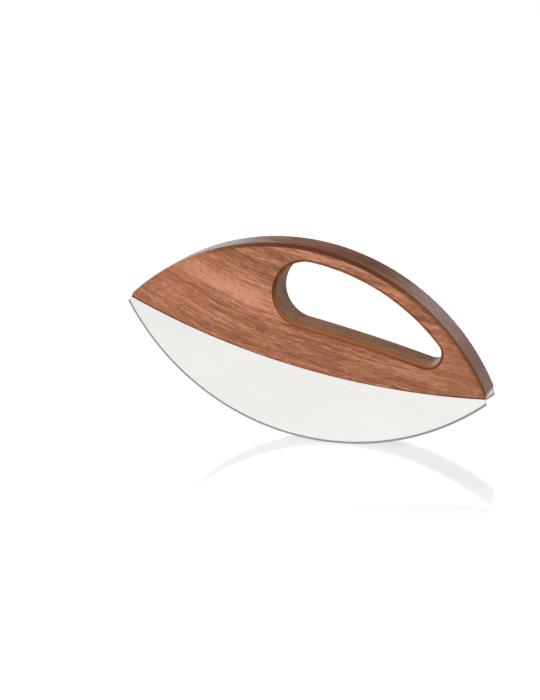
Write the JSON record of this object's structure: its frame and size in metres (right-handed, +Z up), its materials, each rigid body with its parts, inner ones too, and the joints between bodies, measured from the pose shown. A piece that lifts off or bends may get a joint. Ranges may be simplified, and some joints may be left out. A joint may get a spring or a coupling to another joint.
{
  "type": "mezzaluna",
  "caption": "Twin-blade rocking herb knife: curved steel blades on both sides of a lens-shaped wooden handle with a finger opening.",
  "frame": {"origin": "under the middle of the object, at the lowest point of the cutting edges", "axes": "+X along the blades, towards the end that the finger opening is offset to; +Y from the front blade to the rear blade; +Z up from the cutting edges to the grip"},
  "size_m": [0.24, 0.025, 0.1223],
  "materials": {
    "wood": "oiled reddish brown hardwood, grain along the handle",
    "blade_steel": "satin stainless steel, brushed along its length",
    "stud_steel": "plain stainless steel, hidden in the wood"
  },
  "bodies": {
    "root": {"handle": "wood", "front_blade": "blade_steel", "rear_blade": "blade_steel", "front_blade_stud_1": "stud_steel", "front_blade_stud_2": "stud_steel", "front_blade_stud_3": "stud_steel", "front_blade_stud_4": "stud_steel", "front_blade_stud_5": "stud_steel", "rear_blade_stud_1": "stud_steel", "rear_blade_stud_2": "stud_steel", "rear_blade_stud_3": "stud_steel", "rear_blade_stud_4": "stud_steel", "rear_blade_stud_5": "stud_steel"}
  },
  "joints": []
}
